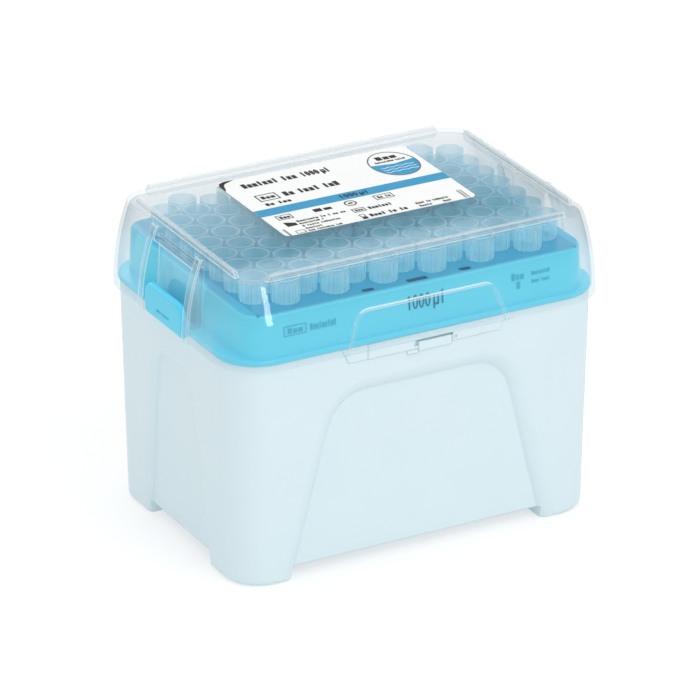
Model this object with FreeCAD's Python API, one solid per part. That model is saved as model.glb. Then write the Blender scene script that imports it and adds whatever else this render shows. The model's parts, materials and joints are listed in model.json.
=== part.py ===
import FreeCAD, Part
import math
import os

# Box of pipette tips: base, tip tray, staggered tips, domed lid, label.
# Millimetres, +Z up, origin at the centre of the foot plane, X along the long side.

V = FreeCAD.Vector
ORIGIN = V(0, 0, 0)
UP = V(0, 0, 1)

# ---- base ----------------------------------------------------------------
BASE_LENGTH = 132.0            # over the rim
BASE_WIDTH = 91.9
BASE_HEIGHT = 77.1             # foot plane to rim
BASE_DRAFT_X = 1.16            # lean of the short walls, degrees
BASE_DRAFT_Y = 1.2             # lean of the long walls, degrees
BASE_CORNER_TOP = 14.0
BASE_CORNER_FOOT = 12.5
BASE_WALL = 1.8
BASE_FLOOR = 1.8
FOOT_HEIGHT = 4.0
FOOT_EDGE_ROUND = 2.2
FRONT_FOOT_LENGTH = 19.1       # corner of the foot to its inner edge, along X
SIDE_FOOT_LENGTH = 23.1        # the same along Y

FRONT_ARCH_LEAN = 14.4         # lean of the arch sides, degrees
FRONT_ARCH_DROP = 16.5         # rim to the top of the arch
FRONT_ARCH_CORNER = 14.0
SIDE_ARCH_LEAN = 8.7
SIDE_ARCH_DROP = 15.1
SIDE_ARCH_CORNER = 8.0
ARCH_DEPTH = 2.8
SIDE_ARCH_DEPTH = 2.0
ARCH_SHOULDER = 4.6            # width of the rounded shoulder round an arch
SIDE_ARCH_SHOULDER = 2.6
SHOULDER_START = 30.0          # the shoulder is this part of a quarter ellipse, degrees
SHOULDER_END = 78.0
SHOULDER_BANDS = 5

PAD_HEIGHT = 5.1               # grip pad under the rim of each long wall
PAD_HALF_TOP = 29.5
PAD_HALF_BOTTOM = 27.0
PAD_HALF_CENTRE = 20.3
PAD_PROUD_CENTRE = 0.4
PAD_PROUD_END = 0.2

CATCH_LEFT = -2.4              # tongue in the front wall that holds the tray's nib
CATCH_RIGHT = 9.5
CATCH_DROP = 2.8               # rim down to the top of the tongue
CATCH_HEIGHT = 3.1
CATCH_PROUD = 0.7
CATCH_SLIT = 0.6               # gap above and beside the tongue
CATCH_SLIT_SIDE = 2.2
CATCH_NOTCH = 1.3
CATCH_GROOVE = 0.6             # depth of the notch and of the slit's side leg
CATCH_RAMP_LENGTH = 3.8
CATCH_RAMP_HEIGHT = 2.4
CATCH_POCKET = 0.9             # depth of the pocket behind the tongue
MARK_DOT_RADIUS = 0.5
MARK_DOT_X = 11.0

# ---- tip tray ------------------------------------------------------------
TRAY_RISE = 15.9               # rim of the base to the deck surface
TRAY_FLANGE = 1.9
TRAY_FLANGE_OVER_X = 0.35      # flange beyond the rim of the base
TRAY_FLANGE_OVER_Y = 0.35
TRAY_FLANGE_CORNER = 14.1
TRAY_FLANGE_ROUND = 0.5
TRAY_INSET_X = 5.5             # rim of the base in to the edge of the deck
TRAY_INSET_Y = 2.45
TRAY_WALL_SPREAD = 1.05        # how far the tray wall draws out down to the flange
TRAY_CORNER_DECK = 7.5
TRAY_CORNER_FLANGE = 9.0
TRAY_WALL = 1.3
TRAY_DECK = 1.5
TRAY_EDGE_ROUND = 1.0          # outer edge of the deck
TRAY_SKIRT_DEPTH = 7.4
TRAY_SKIRT_WALL = 1.3
FIT_GAP = 0.3                  # between parts that slip together

DECK_SLOT_LENGTH = 7.2
DECK_SLOT_WIDTH = 2.4
DECK_SLOT_MARGIN = 2.9         # deck edge to the middle of the slot
DECK_OVAL_LENGTH = 4.2
DECK_OVAL_WIDTH = 2.4
DECK_OVAL_X = 17.32

TAB_HALF_WIDTH = 13.0
TAB_REACH = 2.4                # rim of the base out to the tab's outer face
TAB_THICKNESS = 1.8
TAB_FACE_ROUND = 1.1
TAB_RISE = 9.6                 # rim of the base to the tab's upper edge
TAB_DROP = 1.4                 # the tab below the rim of the base
TAB_CORNER = 4.5
TAB_FOOT_CORNER = 1.5
TAB_BRIDGE_INSET = 1.0         # tab's side to the side of the bridge behind it
TAB_GROOVE_HALF = 4.2          # groove across the lower half of the tab
TAB_GROOVE_WIDTH = 0.8
TAB_GROOVE_DEPTH = 0.5

# ---- tips ----------------------------------------------------------------
TIP_PITCH = 10.0               # between neighbouring tips
SITE_MARGIN = 7.5              # deck edge to the middle of the nearest hole
COLLAR_GAP = 0.9               # between neighbouring collars
COLLAR_SEAT = 0.45             # width of the collar's seat on the deck
COLLAR_HEIGHT = 8.0
COLLAR_RING = 1.1
FIN_COUNT = 16
FIN_WIDTH = 0.6
FIN_PROUD = 0.35
MOUTH_WALL = 0.6
MOUTH_DEPTH = 6.5
SOCKET_WALL = 1.2              # wall at the foot of the mouth
BODY_CLEARANCE = 0.35          # body of a tip to its hole
BODY_WALL = 0.5
WAIST_DROP = 43.0              # deck to the change of taper
WAIST_SHARE = 0.64             # waist as a part of the body's radius
WAIST_WALL = 0.45
END_RADIUS = 0.7
END_BORE = 0.4
TIP_FLOOR_GAP = 11.2           # floor of the base to the tip's end

# ---- lid -----------------------------------------------------------------
LID_OVER_X = 2.1               # lid's lower edge beyond the rim of the base
LID_OVER_Y = 2.05
LID_OVERLAP = 1.4              # lid's lower edge below the rim of the base
LID_TIP_ROOM = 1.1             # tip rims to the inside of the top panel
LID_WALL = 1.3
LID_SWEEP_RADIUS = 75.0        # the wall bows inwards on this radius
LID_CORNER_BOTTOM = 16.0
LID_CORNER_TOP = 8.9
LID_EDGE_ROUND = 0.9
LID_SECTIONS = 6

TOP_RIB_WIDTH = 1.3
TOP_RIB_HEIGHT = 2.0
TOP_RIB_SLANT = 1.5
TOP_RIB_ROUND = 0.4
SIDE_RIB_INSET = 2.3           # panel edge to the rib on the short sides
FRONT_RIB_INSET = 0.9
SIDE_RIB_END = 9.5             # panel edge to the rib's end, along Y
FRONT_RIB_END = 10.6           # the same along X

LATCH_SIDE_GAP = 0.6           # thumb tab to the side of its window
LATCH_RIB_WIDTH = 3.1
LATCH_RIB_PROUD = 0.7
LATCH_SHELF_DROP = 4.4         # top panel down to the underside of the shelf
LATCH_SHELF = 1.2
LATCH_SET_IN = 2.6             # rim of the base in to the foot of the set-in wall
LATCH_LEAN = 3.5               # lean of the set-in wall, degrees
LATCH_WALL = 1.1

ARCH_LINE_HALF_TOP = 24.0      # raised line on the lid's long walls
ARCH_LINE_LEAN = 20.0
ARCH_LINE_DROP = 13.7          # top panel down to the line
ARCH_LINE_CORNER = 5.0
ARCH_LINE_WIDTH = 0.7
ARCH_LINE_PROUD = 0.35

# ---- label ---------------------------------------------------------------
LABEL_LENGTH = 68.7
LABEL_WIDTH = 48.7
LABEL_X = 2.9
LABEL_Y = 10.9
LABEL_CORNER = 2.0
LABEL_THICKNESS = 0.15

# ---- levels that follow from the sizes above -----------------------------
RIM_Z = BASE_HEIGHT
FLOOR_TOP = FOOT_HEIGHT + BASE_FLOOR
LEDGE_Z = RIM_Z + TRAY_FLANGE
DECK_Z = RIM_Z + TRAY_RISE
TIP_TOP_Z = DECK_Z + COLLAR_HEIGHT
TIP_END_Z = FLOOR_TOP + TIP_FLOOR_GAP
LID_BOTTOM_Z = RIM_Z - LID_OVERLAP
PANEL_Z = TIP_TOP_Z + LID_TIP_ROOM + LID_WALL
COLLAR_RADIUS = (TIP_PITCH - COLLAR_GAP) / 2
COLLAR_CORE = COLLAR_RADIUS - FIN_PROUD
MOUTH_RADIUS = COLLAR_RADIUS - MOUTH_WALL
SOCKET_RADIUS = COLLAR_RADIUS - SOCKET_WALL
HOLE_RADIUS = COLLAR_RADIUS - COLLAR_SEAT
BODY_RADIUS = HOLE_RADIUS - BODY_CLEARANCE
BODY_BORE = BODY_RADIUS - BODY_WALL
WAIST_RADIUS = BODY_RADIUS * WAIST_SHARE
WAIST_BORE = WAIST_RADIUS - WAIST_WALL
BASE_HALF_X = BASE_LENGTH / 2
BASE_HALF_Y = BASE_WIDTH / 2
LATCH_HALF_WIDTH = TAB_HALF_WIDTH + LATCH_SIDE_GAP
DECK_HALF_X = BASE_HALF_X - TRAY_INSET_X
DECK_HALF_Y = BASE_HALF_Y - TRAY_INSET_Y
FAR = 400.0                    # reaches past the whole box
PAST = 1.0                     # how far a cutter runs past what it cuts


# ---- general helpers -----------------------------------------------------
def flat(z):
    """Placing rule: outline coordinates to X and Y at one height."""
    return lambda u, v: V(u, v, z)


def facing_y(y):
    """Placing rule: outline coordinates to X and Z on one plane across Y."""
    return lambda u, v: V(u, y, v)


def facing_x(x):
    """Placing rule: outline coordinates to Y and Z on one plane across X."""
    return lambda u, v: V(x, u, v)


def rounded_outline(corners, place):
    """Closed wire through (u, v, radius) corners, each rounded by its own radius."""
    edges = []
    count = len(corners)
    ends = []
    for index in range(count):
        u, v, radius = corners[index]
        here = V(u, v, 0)
        before = V(*corners[index - 1][:2], 0) - here
        after = V(*corners[(index + 1) % count][:2], 0) - here
        before.normalize()
        after.normalize()
        half_angle = before.getAngle(after) / 2
        if radius <= 0:
            ends.append((here, None, here))
            continue
        reach = radius / math.tan(half_angle)
        middle_way = before + after
        middle_way.normalize()
        crown = radius / math.sin(half_angle) - radius
        ends.append((here + before * reach, here + middle_way * crown, here + after * reach))
    for index in range(count):
        start, crown, finish = ends[index]
        following = ends[(index + 1) % count][0]
        if crown is not None:
            arc = Part.Arc(place(start.x, start.y), place(crown.x, crown.y), place(finish.x, finish.y))
            edges.append(arc.toShape())
        if (following - finish).Length > 1e-6:
            edges.append(Part.makeLine(place(finish.x, finish.y), place(following.x, following.y)))
    return Part.Wire(edges)


def rectangle_corners(half_x, half_y, radius):
    """Corners of a centred rectangle for rounded_outline."""
    return [(half_x, half_y, radius), (-half_x, half_y, radius),
            (-half_x, -half_y, radius), (half_x, -half_y, radius)]


def loft(wires, ruled=True):
    """Outward-facing solid through closed wires."""
    solid = Part.makeLoft(wires, True, ruled)
    if solid.Volume < 0:
        solid.reverse()
    return solid


def block_through(sections, ruled=True):
    """Solid through (half_x, half_y, radius, z) sections."""
    wires = []
    for half_x, half_y, radius, z in sections:
        wires.append(rounded_outline(rectangle_corners(half_x, half_y, radius), flat(z)))
    return loft(wires, ruled)


def plate_with_holes(wires, thickness):
    """Plate between an outer wire and the hole wires inside it, thickened upwards."""
    face = Part.makeFace(wires, "Part::FaceMakerBullseye")
    return face.extrude(V(0, 0, thickness)).Solids[0]


def prism(corners, place, way):
    """Solid of an outline pushed along a vector."""
    return Part.Face(rounded_outline(corners, place)).extrude(way)


def box(x0, x1, y0, y1, z0, z1):
    """Upright box between two corners."""
    return Part.makeBox(x1 - x0, y1 - y0, z1 - z0, V(x0, y0, z0))


def turned(shape, angle):
    """Copy turned about the Z axis."""
    copy = shape.copy()
    copy.rotate(ORIGIN, UP, angle)
    return copy


def both_ends(shape):
    """The shape and its copy turned half way round."""
    return [shape, turned(shape, 180)]


def one_solid(shape):
    """The single solid of a finished boolean."""
    solids = shape.removeSplitter().Solids
    assert len(solids) == 1, len(solids)
    return solids[0]


# ---- base ----------------------------------------------------------------
def base_section(z, inset):
    """Outline of the drafted base at a height, drawn in by an inset."""
    fall = RIM_Z - z
    half_x = BASE_HALF_X - fall * math.tan(math.radians(BASE_DRAFT_X)) - inset
    half_y = BASE_HALF_Y - fall * math.tan(math.radians(BASE_DRAFT_Y)) - inset
    radius = BASE_CORNER_TOP + (BASE_CORNER_FOOT - BASE_CORNER_TOP) * fall / RIM_Z - inset
    return half_x, half_y, radius, z


def arch_corners(half_foot, lean, top, corner, grow):
    """Outline of a wall arch, open below, grown evenly by a margin."""
    slope = math.tan(math.radians(lean))
    sideways = grow / math.cos(math.radians(lean))
    below = -FOOT_HEIGHT
    half_low = half_foot + sideways - below * slope
    half_high = half_foot + sideways - (top + grow) * slope
    radius = corner + grow
    return [(half_low, below, 0), (half_high, top + grow, radius),
            (-half_high, top + grow, radius), (-half_low, below, 0)]


def shoulder_profile(depth, width, bands):
    """(height above the recess floor, margin) steps up the rounded shoulder of an arch."""
    start = math.radians(SHOULDER_START)
    end = math.radians(SHOULDER_END)
    rise = math.sin(end) - math.sin(start)
    run = math.cos(start) - math.cos(end)
    steps = []
    for index in range(bands + 1):
        angle = start + (end - start) * index / bands
        steps.append((depth * (math.sin(angle) - math.sin(start)) / rise,
                      width * (math.cos(start) - math.cos(angle)) / run))
    slope = (steps[-1][1] - steps[-2][1]) / (steps[-1][0] - steps[-2][0])
    steps.append((depth + PAST, width + PAST * slope))
    return steps


def wall_arch(half_foot, lean, top, corner, depth, shoulder, thickness, wall_half, draft):
    """Cutter for the recess in the wall that faces -Y; thickness grows it for the inside."""
    wires = []
    bands = 1 if thickness else SHOULDER_BANDS
    for height, margin in shoulder_profile(depth, shoulder, bands):
        outline = arch_corners(half_foot, lean, top, corner, thickness + margin)
        wires.append(rounded_outline(outline, facing_y(-wall_half + depth + thickness - height)))
    cutter = loft(wires)
    cutter.rotate(V(0, -wall_half, 0), V(1, 0, 0), draft)
    return cutter


def base_arches(thickness):
    """Recess cutters of all four walls."""
    half_x, half_y, _, _ = base_section(0, 0)
    front = wall_arch(half_x - FRONT_FOOT_LENGTH, FRONT_ARCH_LEAN, RIM_Z - FRONT_ARCH_DROP,
                      FRONT_ARCH_CORNER, ARCH_DEPTH, ARCH_SHOULDER, thickness, half_y, BASE_DRAFT_Y)
    side = wall_arch(half_y - SIDE_FOOT_LENGTH, SIDE_ARCH_LEAN, RIM_Z - SIDE_ARCH_DROP,
                     SIDE_ARCH_CORNER, SIDE_ARCH_DEPTH, SIDE_ARCH_SHOULDER, thickness, half_x,
                     BASE_DRAFT_X)
    return both_ends(front) + both_ends(turned(side, 90))


def foot_gaps(inset, top):
    """The two crossing channels between the corner feet."""
    half_x, half_y, _, _ = base_section(0, 0)
    gap_x = half_x - FRONT_FOOT_LENGTH + inset
    gap_y = half_y - SIDE_FOOT_LENGTH + inset
    along_y = box(-gap_x, gap_x, -FAR, FAR, -PAST, top)
    along_x = box(-FAR, FAR, -gap_y, gap_y, -PAST, top)
    return [along_x, along_y]


def base_cavity():
    """Inside of the base, down into the hollow feet."""
    main = block_through([base_section(FLOOR_TOP, BASE_WALL), base_section(RIM_Z + PAST, BASE_WALL)])
    feet = block_through([base_section(BASE_FLOOR, BASE_WALL), base_section(FLOOR_TOP, BASE_WALL)])
    for channel in foot_gaps(BASE_WALL, FLOOR_TOP + PAST):
        feet = feet.cut(channel)
    cavity = main.fuse(feet)
    for backing in base_arches(BASE_WALL):
        cavity = cavity.cut(backing)
    return cavity


def grip_pad():
    """Low pad under the rim of the wall that faces -Y, stepped at its middle."""
    bottom = RIM_Z - PAD_HEIGHT
    ends = [(PAD_HALF_TOP, RIM_Z, 0), (-PAD_HALF_TOP, RIM_Z, 0),
            (-PAD_HALF_BOTTOM, bottom, 0), (PAD_HALF_BOTTOM, bottom, 0)]
    middle = [(PAD_HALF_CENTRE, RIM_Z, 0), (-PAD_HALF_CENTRE, RIM_Z, 0),
              (-PAD_HALF_CENTRE, bottom, 0), (PAD_HALF_CENTRE, bottom, 0)]
    inner_y = -BASE_HALF_Y + BASE_WALL / 2
    low = prism(ends, facing_y(inner_y), V(0, -BASE_WALL / 2 - PAD_PROUD_END, 0))
    high = prism(middle, facing_y(inner_y), V(0, -BASE_WALL / 2 - PAD_PROUD_CENTRE, 0))
    return low.fuse(high)


def catch_tongue(low, high, drawn_in):
    """Block over the tongue's face between two depths from the base centre plane, drawn in by a gap."""
    top = RIM_Z - CATCH_DROP - drawn_in
    bottom = RIM_Z - CATCH_DROP - CATCH_HEIGHT + drawn_in
    return box(CATCH_LEFT + drawn_in, CATCH_RIGHT - drawn_in, -high, -low, bottom, top)


def catch_ramp():
    """Low wedge beside the tongue's foot."""
    low = RIM_Z - CATCH_DROP - CATCH_HEIGHT - CATCH_SLIT
    wall = BASE_HALF_Y - BASE_WALL / 2
    outline = [V(CATCH_LEFT - CATCH_RAMP_LENGTH, -wall, low),
               V(CATCH_LEFT - CATCH_RAMP_LENGTH, -BASE_HALF_Y - CATCH_PROUD, low),
               V(CATCH_LEFT - CATCH_RAMP_LENGTH, -wall, low + CATCH_RAMP_HEIGHT)]
    outline.append(outline[0])
    return Part.Face(Part.makePolygon(outline)).extrude(V(CATCH_RAMP_LENGTH, 0, 0))


def catch_cuts():
    """Slit over the tongue, its notch and side leg, the pocket behind it and one round dimple."""
    top = RIM_Z - CATCH_DROP
    outside = BASE_HALF_Y + CATCH_PROUD + PAST
    inside = BASE_HALF_Y - BASE_WALL - PAST
    slit = box(CATCH_LEFT, CATCH_RIGHT + CATCH_SLIT, -outside, -inside, top, top + CATCH_SLIT)
    floor = BASE_HALF_Y - CATCH_GROOVE
    leg = box(CATCH_RIGHT, CATCH_RIGHT + CATCH_SLIT / 2, -outside, -floor, top - CATCH_SLIT_SIDE, top)
    notch = box(CATCH_LEFT - CATCH_NOTCH, CATCH_LEFT, -outside, -floor, top - CATCH_NOTCH,
                top + CATCH_SLIT)
    pocket = catch_tongue(inside, BASE_HALF_Y - BASE_WALL + CATCH_POCKET, 0)
    dimple = Part.makeCylinder(MARK_DOT_RADIUS, PAST + CATCH_PROUD, V(MARK_DOT_X, -outside, top - PAST),
                               V(0, 1, 0))
    return [slit, leg, notch, pocket, dimple]


def make_base():
    """Opaque drafted shell on four corner feet."""
    shell = block_through([base_section(0, 0), base_section(RIM_Z, 0)])
    foot_edges = [edge for edge in shell.Edges if edge.BoundBox.ZMax < FOOT_EDGE_ROUND / 2]
    shell = shell.makeFillet(FOOT_EDGE_ROUND, foot_edges)
    for pad in both_ends(grip_pad()):
        shell = shell.fuse(pad)
    tongue = catch_tongue(BASE_HALF_Y - BASE_WALL / 2, BASE_HALF_Y + CATCH_PROUD, 0)
    shell = shell.fuse([tongue, catch_ramp()])
    for cutter in base_arches(0) + foot_gaps(0, FOOT_HEIGHT) + [base_cavity()] + catch_cuts():
        shell = shell.cut(cutter)
    return one_solid(shell)


# ---- tip tray ------------------------------------------------------------
def tip_sites():
    """Columns of tip centres in the staggered pattern; the middle site carries none."""
    column_step = TIP_PITCH * math.sqrt(3) / 2
    row_step = TIP_PITCH / 2
    columns_each_way = int((DECK_HALF_X - SITE_MARGIN) / column_step)
    rows_each_way = int((DECK_HALF_Y - SITE_MARGIN) / row_step)
    columns = []
    for column in range(-columns_each_way, columns_each_way + 1):
        sites = []
        for row in range(-rows_each_way, rows_each_way + 1):
            staggered_out = (column + row) % 2 == 1
            middle = column == 0 and row == 0
            if staggered_out or middle:
                continue
            sites.append(V(column * column_step, -row * row_step, 0))
        columns.append(sites)
    return columns


def tray_deck():
    """Deck plate with a round hole for every tip, one slot and two ovals near its front edge."""
    edge = TRAY_EDGE_ROUND
    outline = rectangle_corners(DECK_HALF_X - edge, DECK_HALF_Y - edge, TRAY_CORNER_DECK - edge)
    low = DECK_Z - TRAY_DECK
    wires = [rounded_outline(outline, flat(low))]
    for sites in tip_sites():
        for site in sites:
            wires.append(Part.Wire(Part.makeCircle(HOLE_RADIUS, site + V(0, 0, low))))
    front_y = -DECK_HALF_Y + DECK_SLOT_MARGIN
    slot = rectangle_corners(DECK_SLOT_LENGTH / 2, DECK_SLOT_WIDTH / 2, 0)
    wires.append(rounded_outline(slot, lambda u, v: V(u, front_y + v, low)))
    reach = (DECK_OVAL_LENGTH - DECK_OVAL_WIDTH) / 2
    radius = DECK_OVAL_WIDTH / 2
    for middle in (-DECK_OVAL_X, DECK_OVAL_X):
        left, right = middle - reach, middle + reach
        edges = [Part.makeLine(V(left, front_y - radius, low), V(right, front_y - radius, low)),
                 Part.Arc(V(right, front_y - radius, low), V(right + radius, front_y, low),
                          V(right, front_y + radius, low)).toShape(),
                 Part.makeLine(V(right, front_y + radius, low), V(left, front_y + radius, low)),
                 Part.Arc(V(left, front_y + radius, low), V(left - radius, front_y, low),
                          V(left, front_y - radius, low)).toShape()]
        wires.append(Part.Wire(edges))
    return plate_with_holes(wires, TRAY_DECK)


def tray_wall():
    """Drafted wall from the deck down to the flange."""
    low_x = DECK_HALF_X + TRAY_WALL_SPREAD
    low_y = DECK_HALF_Y + TRAY_WALL_SPREAD
    outside = block_through([(low_x, low_y, TRAY_CORNER_FLANGE, RIM_Z),
                             (DECK_HALF_X, DECK_HALF_Y, TRAY_CORNER_DECK, DECK_Z)])
    inside = block_through([(low_x - TRAY_WALL, low_y - TRAY_WALL, TRAY_CORNER_FLANGE - TRAY_WALL, RIM_Z),
                            (DECK_HALF_X - TRAY_WALL, DECK_HALF_Y - TRAY_WALL,
                             TRAY_CORNER_DECK - TRAY_WALL, DECK_Z)])
    deck_edges = [edge for edge in outside.Edges if edge.BoundBox.ZMin > DECK_Z - TRAY_DECK]
    return outside.makeFillet(TRAY_EDGE_ROUND, deck_edges).cut(inside)


def tray_skirt():
    """Skirt that drops inside the base with a slip gap."""
    inset = BASE_WALL + FIT_GAP
    foot = RIM_Z - TRAY_SKIRT_DEPTH
    outside = block_through([base_section(foot, inset), base_section(RIM_Z + TRAY_FLANGE / 2, inset)])
    inside = block_through([base_section(foot - PAST, inset + TRAY_SKIRT_WALL),
                            base_section(RIM_Z + TRAY_FLANGE, inset + TRAY_SKIRT_WALL)])
    return outside.cut(inside)


def tray_flange():
    """Flat flange that rests on the rim of the base."""
    half_x = BASE_HALF_X + TRAY_FLANGE_OVER_X
    half_y = BASE_HALF_Y + TRAY_FLANGE_OVER_Y
    outline = rectangle_corners(half_x, half_y, TRAY_FLANGE_CORNER)
    plate = prism(outline, flat(RIM_Z), V(0, 0, TRAY_FLANGE))
    rim_edges = [edge for edge in plate.Edges if edge.BoundBox.ZLength < TRAY_FLANGE / 2]
    plate = plate.makeFillet(TRAY_FLANGE_ROUND, rim_edges)
    open_x = DECK_HALF_X + TRAY_WALL_SPREAD - TRAY_WALL
    open_y = BASE_HALF_Y - BASE_WALL - FIT_GAP - 2 * TRAY_SKIRT_WALL
    opening = prism(rectangle_corners(open_x, open_y, TRAY_CORNER_DECK), flat(RIM_Z - PAST),
                    V(0, 0, TRAY_FLANGE + 2 * PAST))
    return plate.cut(opening)


def thumb_tab():
    """Upright tab on the flange's +X edge, its face rounded all round, with one groove."""
    face_x = BASE_HALF_X + TAB_REACH
    back_x = face_x - TAB_THICKNESS
    low = RIM_Z - TAB_DROP
    high = RIM_Z + TAB_RISE
    outline = [(TAB_HALF_WIDTH, low, TAB_FOOT_CORNER), (TAB_HALF_WIDTH, high, TAB_CORNER),
               (-TAB_HALF_WIDTH, high, TAB_CORNER), (-TAB_HALF_WIDTH, low, TAB_FOOT_CORNER)]
    plate = prism(outline, facing_x(back_x), V(TAB_THICKNESS, 0, 0))
    face_edges = [edge for edge in plate.Edges if edge.BoundBox.XMin > face_x - TAB_THICKNESS / 4]
    plate = plate.makeFillet(TAB_FACE_ROUND, face_edges)
    half_bridge = TAB_HALF_WIDTH - TAB_BRIDGE_INSET
    bridge = box(BASE_HALF_X - TRAY_INSET_X / 2, back_x + TAB_THICKNESS / 4, -half_bridge, half_bridge,
                 RIM_Z, LEDGE_Z)
    groove = box(face_x - TAB_GROOVE_DEPTH, face_x + PAST, -TAB_GROOVE_HALF, TAB_GROOVE_HALF,
                 LEDGE_Z, LEDGE_Z + TAB_GROOVE_WIDTH)
    return plate.fuse(bridge).cut(groove)


def tray_catch():
    """Nib on the skirt that seats in the pocket behind the tongue of the base."""
    root = BASE_HALF_Y - BASE_WALL - FIT_GAP - TRAY_SKIRT_WALL / 2
    return catch_tongue(root, BASE_HALF_Y - BASE_WALL + CATCH_POCKET - FIT_GAP, FIT_GAP)


def make_tray():
    """Deck, wall, flange, skirt, catch and both thumb tabs in one moulding."""
    tray = tray_wall().fuse([tray_flange(), tray_skirt(), tray_catch()])
    tray = tray.fuse(both_ends(thumb_tab()))
    return one_solid(tray.fuse(tray_deck()))


# ---- tips ----------------------------------------------------------------
def finned_collar():
    """Star-shaped ring: even fins round the collar, open inside."""
    outer_half = math.asin(FIN_WIDTH / 2 / COLLAR_RADIUS)
    inner_half = math.asin(FIN_WIDTH / 2 / COLLAR_CORE)
    step = 2 * math.pi / FIN_COUNT
    edges = []

    def at(radius, angle):
        return V(radius * math.cos(angle), radius * math.sin(angle), DECK_Z)

    for index in range(FIN_COUNT):
        fin = index * step
        crest = Part.Arc(at(COLLAR_RADIUS, fin - outer_half), at(COLLAR_RADIUS, fin),
                         at(COLLAR_RADIUS, fin + outer_half))
        valley = Part.Arc(at(COLLAR_CORE, fin + inner_half), at(COLLAR_CORE, fin + step / 2),
                          at(COLLAR_CORE, fin + step - inner_half))
        edges.append(Part.makeLine(at(COLLAR_CORE, fin - inner_half), at(COLLAR_RADIUS, fin - outer_half)))
        edges.append(crest.toShape())
        edges.append(Part.makeLine(at(COLLAR_RADIUS, fin + outer_half), at(COLLAR_CORE, fin + inner_half)))
        edges.append(valley.toShape())
    star = Part.Wire(edges)
    middle = Part.Wire(Part.makeCircle((COLLAR_CORE + MOUTH_RADIUS) / 2, V(0, 0, DECK_Z)))
    return plate_with_holes([star, middle], COLLAR_HEIGHT - COLLAR_RING / 2)


def make_tip():
    """One tip on the Z axis: ring, finned collar, two-stage taper and open bore."""
    outside = [(COLLAR_RADIUS, TIP_TOP_Z), (COLLAR_RADIUS, TIP_TOP_Z - COLLAR_RING),
               (COLLAR_CORE, TIP_TOP_Z - COLLAR_RING), (COLLAR_CORE, DECK_Z),
               (BODY_RADIUS, DECK_Z), (WAIST_RADIUS, DECK_Z - WAIST_DROP), (END_RADIUS, TIP_END_Z)]
    bore = [(END_BORE, TIP_END_Z), (WAIST_BORE, DECK_Z - WAIST_DROP), (BODY_BORE, DECK_Z),
            (SOCKET_RADIUS, TIP_TOP_Z - MOUTH_DEPTH), (MOUTH_RADIUS, TIP_TOP_Z)]
    points = [V(radius, 0, z) for radius, z in outside + bore]
    points.append(points[0])
    section = Part.Face(Part.makePolygon(points))
    return one_solid(section.revolve(ORIGIN, UP, 360).fuse(finned_collar()))


def tip_columns():
    """Solids of every column of tips."""
    tip = make_tip()
    columns = []
    for sites in tip_sites():
        solids = []
        for site in sites:
            copy = tip.copy()
            copy.translate(site)
            solids.append(copy)
        columns.append(solids)
    return columns


# ---- lid -----------------------------------------------------------------
def lid_section(z, inset):
    """Outline of the bowed lid wall at a height, drawn in by an inset."""
    height = z - LID_BOTTOM_Z
    bow = LID_SWEEP_RADIUS - math.sqrt(LID_SWEEP_RADIUS ** 2 - height ** 2)
    top_height = PANEL_Z - LID_BOTTOM_Z
    full_bow = LID_SWEEP_RADIUS - math.sqrt(LID_SWEEP_RADIUS ** 2 - top_height ** 2)
    half_x = BASE_HALF_X + LID_OVER_X - bow - inset
    half_y = BASE_HALF_Y + LID_OVER_Y - bow - inset
    radius = LID_CORNER_BOTTOM + (LID_CORNER_TOP - LID_CORNER_BOTTOM) * bow / full_bow - inset
    return half_x, half_y, radius, z


def lid_block(inset, low, high):
    """Solid inside the bowed wall between two heights."""
    sections = []
    for index in range(LID_SECTIONS):
        sections.append(lid_section(low + (high - low) * index / (LID_SECTIONS - 1), inset))
    return block_through(sections, False)


def top_rib(inner, outer, half_length):
    """Thin rib on the top panel along X, with slanted ends."""
    top = PANEL_Z + TOP_RIB_HEIGHT
    root = PANEL_Z - LID_WALL / 2
    half_root = half_length + TOP_RIB_SLANT
    outline = [(half_length, top, 0), (-half_length, top, 0), (-half_root, root, 0), (half_root, root, 0)]
    rib = prism(outline, facing_y(inner), V(0, outer - inner, 0))
    crest = [edge for edge in rib.Edges if edge.BoundBox.ZMin > top - TOP_RIB_ROUND]
    return rib.makeFillet(TOP_RIB_ROUND, crest)


def top_ribs():
    """Ribs along all four edges of the top panel."""
    half_x, half_y, _, _ = lid_section(PANEL_Z, 0)
    front = top_rib(half_y - FRONT_RIB_INSET - TOP_RIB_WIDTH, half_y - FRONT_RIB_INSET,
                    half_x - FRONT_RIB_END)
    side = top_rib(half_x - SIDE_RIB_INSET - TOP_RIB_WIDTH, half_x - SIDE_RIB_INSET,
                   half_y - SIDE_RIB_END)
    return both_ends(front) + both_ends(turned(side, 90))


def latch_ribs(outside):
    """Two raised uprights beside the +X tab window."""
    inner = LATCH_HALF_WIDTH
    outer = LATCH_HALF_WIDTH + LATCH_RIB_WIDTH
    half_x, _, _, _ = lid_section(PANEL_Z, 0)
    ribs = []
    for low, high in ((inner, outer), (-outer, -inner)):
        upright = box(half_x - LID_WALL, FAR, low, high, LID_BOTTOM_Z, PANEL_Z)
        ribs.append(upright.common(outside))
    return ribs


def set_in_wall(depth, half_width, low, high):
    """Leaning slab outline set in from the wall; depth is measured in from its outer face."""
    foot_x = BASE_HALF_X - LATCH_SET_IN - depth
    slope = math.tan(math.radians(LATCH_LEAN))
    low_x = foot_x - (low - LEDGE_Z) * slope
    high_x = foot_x - (high - LEDGE_Z) * slope
    points = [V(low_x, -half_width, low), V(FAR, -half_width, low), V(FAR, -half_width, high),
              V(high_x, -half_width, high), V(low_x, -half_width, low)]
    return Part.Face(Part.makePolygon(points)).extrude(V(0, 2 * half_width, 0))


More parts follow.
